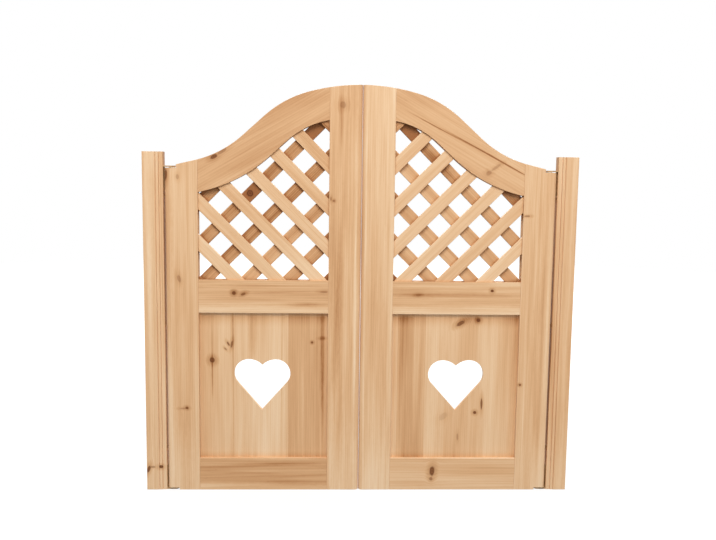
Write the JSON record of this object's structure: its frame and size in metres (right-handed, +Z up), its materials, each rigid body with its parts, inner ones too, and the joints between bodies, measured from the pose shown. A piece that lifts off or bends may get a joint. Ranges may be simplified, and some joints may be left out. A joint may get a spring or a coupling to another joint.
{
  "type": "cafe swinging doors",
  "caption": "Half-height pine cafe doors with lattice tops and heart cut-outs, hung on sprung pivots between side posts so that each leaf swings both ways.",
  "frame": {"origin": "bottom centre of the opening that the doors fill: midway between the posts, at the level of the bottoms of posts and leaves, in the middle of their thickness", "axes": "+X along the opening to the right-hand post, +Y away from the front, +Z up; both leaves are closed at rest and lie in the XZ plane"},
  "size_m": [0.9, 0.022, 0.855],
  "materials": {
    "post_pine": "planed pine, bare, satin",
    "frame_pine": "planed and sanded pine, bare, satin",
    "panel_pine": "sanded edge-glued pine boards, bare",
    "lattice_pine": "planed pine slats, bare",
    "dowel_beech": "fluted beech, glued",
    "bronzed_steel": "light brown bronze, dull",
    "zinc_steel": "zinc-plated, dull",
    "spring_steel": "oiled spring wire",
    "nylon": "natural nylon"
  },
  "bodies": {
    "posts": {"bracket_screws": "bronzed_steel", "left_lower_bracket": "bronzed_steel", "left_post": "post_pine", "left_upper_bracket": "bronzed_steel", "pivot_pins": "bronzed_steel", "right_lower_bracket": "bronzed_steel", "right_post": "post_pine", "right_upper_bracket": "bronzed_steel"},
    "left_leaf": {"left_back_slat_1": "lattice_pine", "left_back_slat_2": "lattice_pine", "left_back_slat_3": "lattice_pine", "left_back_slat_4": "lattice_pine", "left_back_slat_5": "lattice_pine", "left_bottom_rail": "frame_pine", "left_dowels": "dowel_beech", "left_front_slat_1": "lattice_pine", "left_front_slat_2": "lattice_pine", "left_front_slat_3": "lattice_pine", "left_front_slat_4": "lattice_pine", "left_front_slat_5": "lattice_pine", "left_front_slat_6": "lattice_pine", "left_lattice_corner_pieces": "lattice_pine", "left_meeting_stile": "frame_pine", "left_mid_rail": "frame_pine", "left_outer_stile": "frame_pine", "left_panel_board_1": "panel_pine", "left_panel_board_2": "panel_pine", "left_panel_board_3": "panel_pine", "left_panel_board_4": "panel_pine", "left_panel_board_5": "panel_pine", "left_pivot_bushes": "nylon", "left_return_spring": "spring_steel", "left_spring_sleeve": "zinc_steel", "left_top_rail": "frame_pine"},
    "right_leaf": {"right_back_slat_1": "lattice_pine", "right_back_slat_2": "lattice_pine", "right_back_slat_3": "lattice_pine", "right_back_slat_4": "lattice_pine", "right_back_slat_5": "lattice_pine", "right_bottom_rail": "frame_pine", "right_dowels": "dowel_beech", "right_front_slat_1": "lattice_pine", "right_front_slat_2": "lattice_pine", "right_front_slat_3": "lattice_pine", "right_front_slat_4": "lattice_pine", "right_front_slat_5": "lattice_pine", "right_front_slat_6": "lattice_pine", "right_lattice_corner_pieces": "lattice_pine", "right_meeting_stile": "frame_pine", "right_mid_rail": "frame_pine", "right_outer_stile": "frame_pine", "right_panel_board_1": "panel_pine", "right_panel_board_2": "panel_pine", "right_panel_board_3": "panel_pine", "right_panel_board_4": "panel_pine", "right_panel_board_5": "panel_pine", "right_pivot_bushes": "nylon", "right_return_spring": "spring_steel", "right_spring_sleeve": "zinc_steel", "right_top_rail": "frame_pine"}
  },
  "joints": [
    {"name": "left_leaf_swing", "type": "hinge", "parent": "posts", "child": "left_leaf", "pos_m": [-0.3907, 0, 0], "axis": [0, 0, 1], "range_deg": [-90, 90], "stiffness_Nm_per_rad": 1.5},
    {"name": "right_leaf_swing", "type": "hinge", "parent": "posts", "child": "right_leaf", "pos_m": [0.3907, 0, 0], "axis": [0, 0, 1], "range_deg": [-90, 90], "stiffness_Nm_per_rad": 1.5}
  ]
}
